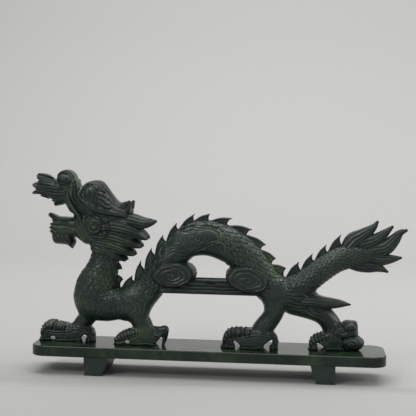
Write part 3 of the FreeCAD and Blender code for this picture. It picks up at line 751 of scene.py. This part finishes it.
def disc_piece(name, x, z, rx, rz, tilt, turned):
    """An oval disc, tilted by degrees; its whorl is turned by radians."""
    block = Block((x - rx - 2, x + rx + 2), (z - rz - 3, z + rz + 3), 17)
    along = np.linspace(0, 2 * math.pi, 48, endpoint=False)
    c, s = math.cos(math.radians(tilt)), math.sin(math.radians(tilt))
    u, v = rx * np.cos(along), rz * np.sin(along)
    field = pillow(block, np.stack([x + u * c - v * s, z + u * s + v * c], 1), DISC_HALF, reach=2.8)
    eye_x, eye_z = x - 1, z - 0.3
    whorl = spiral(block, eye_x, eye_z, rx * 0.5, rz * 0.5, turns=1.6, depth=0.5, start=turned, tilt=tilt)
    band = rings(block, x, z, rx, rz, count=4, depth=0.7, tilt=tilt)
    radius, _ = oval(block, eye_x, eye_z, rx, rz, tilt)
    piece(name, block, field + np.where(radius < WHORL, whorl, band))


disc_piece("left_cloud_disc", x=-30, z=59.4, rx=18.8, rz=11.5, tilt=4, turned=0.6)
disc_piece("right_cloud_disc", x=31.8, z=57.4, rx=19.4, rz=11.8, tilt=-10, turned=2.4)


def curl_piece():
    """The thick tongue of cloud behind the left disc."""
    block = Block((-30, -9), (50, 72), 11)
    edge = outline([(-23.5, 67.2), (-19.4, 68.5), (-15.8, 67.4), (-12.9, 64.2), (-11.8, 60.5), (-12.6, 54)],
                   [(-27, 54)], [(-27, 64)])
    field = pillow(block, edge, half=8.5, reach=2.6)
    field = field + grooves(block, [[(-22, 64.8), (-18.5, 65.6), (-15.4, 62.8), (-15, 56)]], 0.9, 0.8)
    piece("cloud_curl", block, field)


curl_piece()


BAND_END = 42
BAND_LOW, BAND_HIGH = 43.6, 56
BAND_HALF = 10.5
BAND_WALL = 1.3  # either side of the trough along its top
TROUGH_FLOOR = 54.4
BAND_GROOVES = ((47, 0.9), (49.7, 1), (52.9, 1.1))  # heights and depths


def band_piece():
    """The grooved bar between the discs, with a shallow trough along its top."""
    block = Block((-44, 44), (40, 60), 13)
    bar = outline([(BAND_END, BAND_LOW)], [(BAND_END, BAND_HIGH)], [(-BAND_END, BAND_HIGH)],
                  [(-BAND_END, BAND_LOW)])
    field = pillow(block, bar, BAND_HALF, reach=0.7)
    trough = np.maximum(np.abs(block.y) - (BAND_HALF - BAND_WALL), TROUGH_FLOOR - block.z)
    field = np.maximum(field, -trough)
    for z, depth in BAND_GROOVES:
        wave = [(-46, z + 0.4), (-20, z - 0.2), (0, z + 0.3), (20, z - 0.2), (46, z + 0.3)]
        field = field + grooves(block, [wave], 1, depth, waver=0.08)
    piece("cloud_band", block, field)


band_piece()


# ---- tail flames, hock tuft and heel
FLAMES = {
    "tail_flame_1": [((108, 87), (114, 76), 6), ((113, 96.6), (121, 82), 5.5),
        ((121.4, 100.6), (127.5, 89), 5), ((131.2, 104.7), (133.8, 98.6), 3.4),
        ((134.8, 107.2), (137, 105.4), 1.6)],
    "tail_flame_2": [((122, 95), (128, 80), 5.5), ((132.1, 96.8), (137.5, 86), 5),
        ((140, 100.4), (143.9, 93.8), 3.8), ((147, 103.6), (149, 101.6), 1.6)],
    "tail_flame_3": [((130, 90), (136, 76), 5.5), ((140.5, 91.8), (145.4, 79.4), 5),
        ((146.8, 96.4), (151.8, 86.8), 4.2), ((152.8, 100.5), (156.2, 95.1), 2.9),
        ((159, 101.4), (160, 98.8), 1.5)],
    "tail_flame_4": [((128, 84), (128, 70), 5.5), ((140, 81), (139.5, 70.4), 4.8),
        ((149, 80.2), (148.4, 73), 3.4), ((155.4, 78.8), (155.8, 76.4), 1.5)],
    "tail_flame_5": [((112, 80), (113, 68.2), 6), ((122, 77), (122, 64.9), 5.2),
        ((132, 77), (131.4, 64.4), 4.8), ((138.5, 72.8), (138.6, 65), 3.4),
        ((144.8, 67), (145.4, 64.8), 1.4)],
}
FLAME_RIBS = 5
SPARE = 2  # between a tube and the end of its block


def rows_box(rows):
    """The side view's box round a tube."""
    rows = np.array([row[:3] for row in rows])
    low, high = (rows[:, :2] - rows[:, 2:]).min(0) - SPARE, (rows[:, :2] + rows[:, 2:]).max(0) + SPARE
    return (low[0], high[0]), (low[1], high[1])


for flame, flame_edges in FLAMES.items():
    flame_rows = [between(*edge) for edge in flame_edges]
    flame_block = Block(*rows_box(flame_rows), 8)
    piece(flame, flame_block, tube(flame_block, flame_rows, FLAME_RIBS, depth=0.6))


def tuft_piece():
    rows = [between(*edge) for edge in (
        ((76, 47), (78, 33), 11.6), ((85, 46.6), (86, 33), 12.6), ((93, 44.6), (92.4, 33), 11),
        ((101, 43.2), (100.5, 34), 8), ((108.4, 41.8), (107, 35.2), 5),
        ((115.2, 38.8), (115.8, 37), 0.9))]
    block = Block(*rows_box(rows), 16)
    piece("hock_tuft", block, tube(block, rows, ribs=7, depth=0.6))


tuft_piece()


def heel_pieces():
    """The ball that the rear right paw rests against, and the curled tuft over it."""
    block = Block((103, 130), (-1, 16), 16)
    field = ball(block, 117, FAR, 6.3, 11, 10.5, 7.6)
    field = np.maximum(field, -block.z)
    field = field + spiral(block, 118.3, 6.6, 9.4, 7, turns=2.4, depth=0.7, start=0.5)
    piece("heel_ball", block, field)
    block = Block((99, 127), (6, 30), 16)
    lumps = [(105, 14, 7, 10, 8.5), (112, 13, 8, 9, 6), (113, 18.4, 6.4, 9, 5.6),
             (117.6, 18.6, 5, 8, 5.4), (118.4, 13.6, 4.6, 8, 4.5), (119.2, 22.2, 2.4, 5, 2),
             (114, 22, 3.4, 6, 2.4)]
    field = melt_all([ball(block, x, FAR, z, rx, ry, rz) for x, z, rx, ry, rz in lumps], soft=2)
    field = field + spiral(block, 117.2, 19, 5.4, 5, turns=1.7, depth=0.6)
    field = field + spiral(block, 109.5, 18, 4.4, 4.6, turns=1.5, depth=0.5, start=2)
    piece("heel_curl", block, field)


heel_pieces()


# ---- head
FOREHEAD = outline(
    [(-107, 131.2), (-103.8, 133.8), (-96.2, 135.6), (-90, 133.8), (-83, 125), (-77.7, 118.8), (-72, 117)],
    [(-66.5, 113), (-65.2, 108.5), (-70, 104)], [(-90, 100), (-110, 106), (-112, 124)])
FACE = outline(
    [(-100, 111), (-80, 109), (-66, 106)], [(-62, 100), (-67, 88), (-76, 78)],
    [(-92, 78.5), (-100, 81.4), (-105, 82.3), (-110, 85.8), (-114, 90), (-116, 98), (-115, 106)])
SNOUT = outline(
    [(-113, 136), (-121, 138), (-130, 136)], [(-136, 128), (-132.3, 117.7)],
    [(-131.5, 113.8), (-129.6, 113.3), (-123.8, 114.6), (-122, 114.6), (-118.5, 109.2), (-115, 106.8)],
    [(-106, 107), (-108, 130)])
FAN = outline(
    [(-121, 131.4), (-126, 133.4), (-130, 134.8), (-134, 137.8), (-138.5, 140), (-145, 140.4),
     (-146.6, 139.4), (-146.8, 137), (-145.4, 133.6)],
    [(-148, 132.6), (-150.2, 131.2), (-149.6, 129)], [(-147.6, 127)],
    [(-149.8, 124.8), (-150.2, 123), (-147, 122.3)],
    [(-140, 120.2), (-134.6, 118.4), (-131, 116.6), (-116, 119)], [(-116, 129.6)])
EYE = (-100.7, 125)
EYE_HALF = 3.7
EYE_RING, EYE_RING_HALF = 1.18, 0.3  # radius and half width, as shares of the eye's
EYE_RING_DEPTH = 1.5
CHEEK = (-96.2, 12.6, 98.4)
CHEEK_SIZE = 9
CURLS = ((-85, 102.4), (-83.6, 97.4), (-86, 92))  # small curls behind the cheek
SKULL_HALF, SKULL_ROUNDING = 13.5, 9
SNOUT_HALF, SNOUT_ROUNDING = 11, 7
HOOD = [(-127.8, 135, 1.6, 9, 0), (-126, 139.6, 2.3, 10.5, 0), (-121.2, 141.7, 2.6, 11.5, 0),
        (-117, 139.2, 2.9, 11.5, 0), (-114.6, 133.6, 3.2, 11.5, 0), (-112.4, 128, 2.6, 11, 0)]
# Ridged bands on both sides of the face: rows as for a tube, ridges and how deep they are cut.
WHISKERS = [
    ([(-113.4, 134, 2.2, 3.5, 8), (-111.8, 122.4, 2.9, 3.8, 11), (-106.6, 115.2, 3.9, 4, 12.2),
     (-100.4, 109.4, 4.4, 4, 13), (-95, 104.6, 4, 3.6, 13), (-89, 100, 2.6, 2.8, 12),
     (-86.4, 93, 1.4, 2, 11.6)], 4, 1.7),
    ([(-118.6, 130, 1.6, 3, 9), (-118, 121, 2.6, 3.4, 10), (-113.4, 112.6, 2.8, 3.4, 11.4),
     (-108, 105.4, 2.8, 3.2, 12), (-106, 98, 2.4, 2.8, 12), (-101.4, 90.6, 1.8, 2.4, 12),
     (-93.6, 88, 1.2, 2, 12)], 2, 1.2),
    ([(-100.5, 116.6, 1.4, 2.4, 11.8), (-94, 111.6, 2.4, 3, 12.4), (-84, 109.4, 2.6, 3, 12.2),
     (-70, 107.2, 2.2, 3, 10.5)], 2, 0.9),
]
JAW = outline(
    [(-119.2, 104.5), (-127, 104.4), (-133, 102)], [(-135.6, 97), (-135.4, 93), (-133.5, 90)],
    [(-120, 87), (-106, 91), (-108, 104)])
BEARD = outline(
    [(-122, 95), (-133.8, 94)],
    [(-133, 86.2), (-131.5, 83), (-129.2, 81.7), (-124.6, 81.4), (-120, 80.8), (-115.8, 77.8)],
    [(-113.2, 83), (-113.6, 88), (-108, 94)])
# Each lock of the mane: rows as for a tube.
MANE = [
    [(-96, 97, 5, 4, 11), (-82, 97.6, 6.5, 5, 11), (-66, 94.4, 5.6, 5, 9), (-56.5, 90.4, 4, 4, 7.5),
     (-53.6, 89, 2.5, 3, 7)],
    [(-97, 91, 5, 4, 11), (-82, 89.8, 6.5, 5, 10.5), (-68, 86, 5, 5, 8.5), (-61, 83, 3.6, 4, 7),
     (-58.4, 81.9, 2.3, 3, 6.5)],
    [(-96, 85, 5, 4, 10), (-84, 83.2, 6, 5, 10), (-73, 79.4, 5, 5, 8), (-66, 76.2, 3.4, 4, 6.5),
     (-63.8, 75.2, 2.1, 3, 6)],
    [(-95, 80, 4.5, 4, 9), (-87, 77.6, 5.2, 5, 9.5), (-79, 73.8, 4.2, 4.5, 7.5),
     (-71.2, 70.8, 2.4, 2.5, 5.5)],
]
LOCK_BEVEL = (0.66, 0.55, 0.43)  # normal of the flat cut at a lock's end, for the near side
MANE_RIBS = 5
MANE_CUT = 1


def brow_cuts(block):
    """Hair combed back along the forehead's edge, the lid's line round the eye, and strokes behind it."""
    edge = inside(by_hand(block), FOREHEAD)
    combed = (edge < -1) & (edge > -5.2) & (block.x > -104) & (block.z > 113)
    strokes = fan_of_lines([(-94.4, 127.6), (-88.4, 125.8), (-83.4, 121)],
                           [(-92.9, 114.6), (-87.4, 113), (-81, 111.4)], 4)
    lid = [(-105.4, 130), (-101.6, 131.8), (-96.8, 130), (-94, 125.2), (-95.2, 119.6), (-93.2, 113),
           (-88.6, 109.6)]
    return (ridges(edge / 2.1, 0.8) * combed + grooves(block, strokes, width=1.15, depth=0.75)
            + grooves(block, [lid], width=1, depth=1.2, waver=0.1))


def eye_socket(block):
    """The round lid that the eye sits in, with a ring cut round it."""
    ex, ez = EYE
    lid = ball(block, ex, 10.4, ez, EYE_HALF + 2.8, 4.6, EYE_HALF + 3.2, True)
    reach = np.hypot((block.x - ex) / EYE_HALF, (block.z - ez) / (EYE_HALF + 0.6))
    ring = np.clip(1 - ((reach - EYE_RING) / EYE_RING_HALF) ** 2, 0, 1)
    return lid + EYE_RING_DEPTH * ring


def head_piece():
    block = Block((-137, -58), (70, 148), 21)
    skull = melt(pillow(block, FACE, SKULL_HALF, SKULL_ROUNDING),
                 pillow(block, FOREHEAD, SKULL_HALF, SKULL_ROUNDING), soft=2)
    field = melt(skull, pillow(block, SNOUT, SNOUT_HALF, SNOUT_ROUNDING), soft=2)
    field = field + brow_cuts(block)
    field = melt(field, tube(block, HOOD, ribs=3, depth=1.2), soft=0.5)
    nostril = ball(block, -121.4, 8.8, 135.4, 6, 5.6, 5.5, True)
    nostril = nostril + grooves(block, [[(-127, 135.6), (-123, 132.6), (-118.6, 131.6)]], 0.8, 0.5)
    field = melt(field, nostril, soft=1)
    x, _, z = CHEEK
    cheek = ball(block, *CHEEK, CHEEK_SIZE, 5.4, CHEEK_SIZE, True)
    cheek = cheek + spiral(block, x, z, CHEEK_SIZE, CHEEK_SIZE, turns=2.4, depth=1.1, start=2.6)
    field = melt(field, cheek, soft=0.8)
    for rows, ribs, cut in WHISKERS:
        field = melt(field, tube(block, rows, ribs, cut, True), soft=0.4)
    field = melt(field, eye_socket(block), soft=0.5)
    for x, z in CURLS:
        curl = ball(block, x, 14.4, z, 3, 3, 3, True)
        curl = curl + spiral(block, x, z, 3.2, 3.2, turns=1.4, depth=0.6)
        field = melt(field, curl, soft=0.5)
    jowl = fan_of_lines([(-113, 103), (-114, 96), (-111.5, 89)], [(-109, 90), (-103, 85.5), (-95, 83.5)], 3)
    field = field + grooves(block, jowl, width=0.9, depth=0.7)
    piece("head", block, field, ["face", "forehead", "snout", "nose", "cheeks", "whiskers"])


head_piece()


def eyes_piece():
    block = Block((-108, -94), (117, 132), 18)
    ex, ez = EYE
    field = ball(block, ex, 11.6, ez, EYE_HALF - 0.3, 3.6, EYE_HALF + 0.2, True)
    piece("eyes", block, field, material=EYE_JADE_PAINTED_HIGHLIGHT)


eyes_piece()


def fan_piece():
    block = Block((-154, -112), (112, 145), 15)
    field = pillow(block, FAN, half=12.2, reach=6)
    pleats = fan_of_lines([(-149, 130.4), (-140, 130.6), (-130, 129.4), (-117, 128.4)],
                          [(-149, 123.2), (-140, 121.6), (-130, 118.6), (-117, 121.6)], 5)
    pleats += fan_of_lines([(-148, 139.6), (-140, 138.4), (-133, 135.6), (-127, 131)],
                           [(-148, 134.8), (-141, 134.4), (-134, 132.6), (-124, 130)], 3)
    field = field + grooves(block, pleats, width=0.9, depth=1.1, waver=0.15)
    piece("snout_fan", block, field)


fan_piece()


def jaw_pieces():
    block = Block((-140, -104), (86, 109), 15)
    folds = [[(-138, 99.5), (-130, 100.2), (-118, 100.8), (-110, 100)],
             [(-138, 96.4), (-130, 96.8), (-118, 96.6), (-110, 95)],
             [(-138, 93.8), (-133, 93.6), (-127, 92.6)]]
    field = pillow(block, JAW, half=11, reach=5) + grooves(block, folds, width=1.2, depth=1.3)
    piece("lower_jaw", block, field)
    block = Block((-141, -112), (96, 110), 10)
    rows = [(-116, 101.8, 2.2, 9.6), (-124, 101.4, 2.5, 9.4), (-129.6, 102.9, 2.7, 8),
            (-133, 104.8, 2.4, 6), (-134.8, 105.9, 2, 4.5)]
    piece("lip_curl", block, tube(block, rows, ribs=3, depth=0.4))
    block = Block((-136, -106), (75, 97), 13)
    hair = fan_of_lines([(-130.6, 95), (-130, 89), (-126.5, 84)], [(-117, 95), (-119, 89), (-117.6, 82)], 4)
    field = pillow(block, BEARD, half=10.5, reach=6) + grooves(block, hair, width=1, depth=0.35)
    piece("beard", block, field)


jaw_pieces()


def mane_piece():
    """Combed locks on both sides, with a filling between them. Each ends in a flat bevel."""
    block = Block((-103, -47), (66, 106), 18)
    nx, ny, nz = LOCK_BEVEL
    locks = []
    for rows in MANE:
        x, z, high, _, y = rows[-1]
        filling = [row[:3] + (7.5 if row[2] > 3 else 4, 0) for row in rows]
        lock = np.minimum(tube(block, rows, MANE_RIBS, MANE_CUT, True),
                          tube(block, filling, MANE_RIBS, MANE_CUT))
        bevel = ((block.x - x - 0.6 * high) * nx + (np.abs(block.y) - y - 0.4) * ny
                 + (block.z - z + 0.3 * high) * nz)
        locks.append(np.maximum(lock, bevel))
    piece("mane", block, melt_all(locks, soft=0.25))


mane_piece()


def horn_pieces():
    block = Block((-84, -44), (90, 114), 14)
    rows = [(-80, 104, 6, 5, 7), (-67, 102.6, 6, 5, 7.5), (-57, 100.7, 4.8, 4.2, 7.5),
            (-51, 101, 3.5, 3.2, 7.5), (-47.6, 101.8, 1.6, 1.6, 7.5)]
    piece("horns", block, tube(block, rows, ribs=4, depth=0.55, mirrored=True))
    block = Block((-84, -60), (102, 123), 15)
    front = [(-79, 109, 5, 3.8, 8), (-73.6, 113, 3.8, 3.4, 8.5), (-70.4, 117.2, 2, 2.4, 8.8)]
    back = [(-74, 107, 4.5, 3.8, 7), (-68.6, 112, 2.8, 3.2, 8.5), (-66.7, 117.8, 1.6, 2, 9)]
    ears = [tube(block, front, ribs=2, depth=0.5, mirrored=True),
            tube(block, back, ribs=2, depth=0.4, mirrored=True)]
    piece("ears", block, melt_all(ears, soft=0.5))


horn_pieces()


# ---- CAD pieces that stay: the stand and the pegs
KEPT = {"base_board": BOARD_JADE, "left_foot": FOOT_JADE, "right_foot": FOOT_JADE, "palm_pegs": DRAGON_JADE}
for node_name, finish in KEPT.items():
    kept_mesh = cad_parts[node_name].data
    kept_mesh.materials.clear()
    kept_mesh.materials.append(finish)


# ---- floor, light and camera
COVE_START, COVE_END = 4, 0.9  # how far the floor reaches, in metres
COVE_RADIUS, COVE_RISE = 0.5, 1.6
COVE_HALF = 4  # of its width
COVE_STEPS = 12  # round the curve
PALE_PAPER = (0.395, 0.39, 0.382)
AIM = (0, 0, 0.08)  # the middle of the carving
# Each softbox: place, what it is turned to, two sides in metres, power in watts.
SOFTBOXES = {
    "top_softbox": ((0, -0.1, 1.1), AIM, (1.3, 0.9), 7.7),
    "front_softbox": ((-0.7, -1.1, 0.9), AIM, (0.4, 0.4), 5.5),
    "right_softbox": ((1.1, 0.25, 0.6), AIM, (0.8, 0.8), 5),
    "backdrop_softbox": ((0, 0.5, 1.5), (0, 1.4, 0.8), (2, 0.4), 26),
}
SKY, SKY_STRENGTH = (0.72, 0.74, 0.75, 1), 0.46
YAW, PITCH, ROLL = -5.180, -3.249, 1.0725  # of the camera, in degrees
CAMERA_PLACE = (78.94 + CENTRE_X, -903.2, 189.5)
LENS, SENSOR_WIDTH = 95.19, 36


def plain_material(name, colour, roughness):
    material = bpy.data.materials.new(name)
    material.use_nodes = True
    shader = material.node_tree.nodes["Principled BSDF"]
    shader.inputs["Base Color"].default_value = (*colour, 1)
    shader.inputs["Roughness"].default_value = roughness
    return material


def cove():
    """A pale floor that curves up into a backdrop."""
    profile = [(-COVE_START, 0)]
    for i in range(COVE_STEPS + 1):
        a = i / COVE_STEPS * math.pi / 2
        profile.append((COVE_END + COVE_RADIUS * math.sin(a), COVE_RADIUS * (1 - math.cos(a))))
    profile.append((COVE_END + COVE_RADIUS, COVE_RISE))
    vertices = [(x, y, z) for y, z in profile for x in (-COVE_HALF, COVE_HALF)]
    faces = [(2 * i, 2 * i + 1, 2 * i + 3, 2 * i + 2) for i in range(len(profile) - 1)]
    thing = smooth_object("cove", vertices, faces, plain_material("pale_paper", PALE_PAPER, 0.8))


def softbox(name, place, target, size, power):
    light = bpy.data.lights.new(name, "AREA")
    light.shape = "RECTANGLE"
    light.size, light.size_y = size
    light.energy = power
    lamp = in_scene(name, light)
    lamp.location = place
    lamp.rotation_euler = (Vector(target) - Vector(place)).to_track_quat("-Z", "Y").to_euler()


cove()
for light_name, light_settings in SOFTBOXES.items():
    softbox(light_name, *light_settings)
world = bpy.data.worlds.new("studio")
world.use_nodes = True
set_inputs(world.node_tree.nodes["Background"], Color=SKY, Strength=SKY_STRENGTH)
bpy.context.scene.world = world
bpy.context.scene.view_settings.view_transform = "Standard"


def camera():
    """A little above the carving and to its right, almost a metre in front, looking slightly down."""
    yaw, pitch, roll = (math.radians(a) for a in (YAW, PITCH, ROLL))
    forward = Vector((math.sin(yaw) * math.cos(pitch), math.cos(yaw) * math.cos(pitch), math.sin(pitch)))
    right = Vector((math.cos(yaw), -math.sin(yaw), 0))
    up = right.cross(forward)
    tilted_right = right * math.cos(roll) + up * math.sin(roll)
    tilted_up = up * math.cos(roll) - right * math.sin(roll)
    data = bpy.data.cameras.new("camera")
    data.sensor_width = SENSOR_WIDTH
    data.lens = LENS
    eye = in_scene("camera", data)
    axes = Matrix((tilted_right, tilted_up, -forward)).transposed().to_4x4()
    eye.matrix_world = Matrix.Translation(Vector(CAMERA_PLACE) * MM) @ axes
    bpy.context.scene.camera = eye


camera()
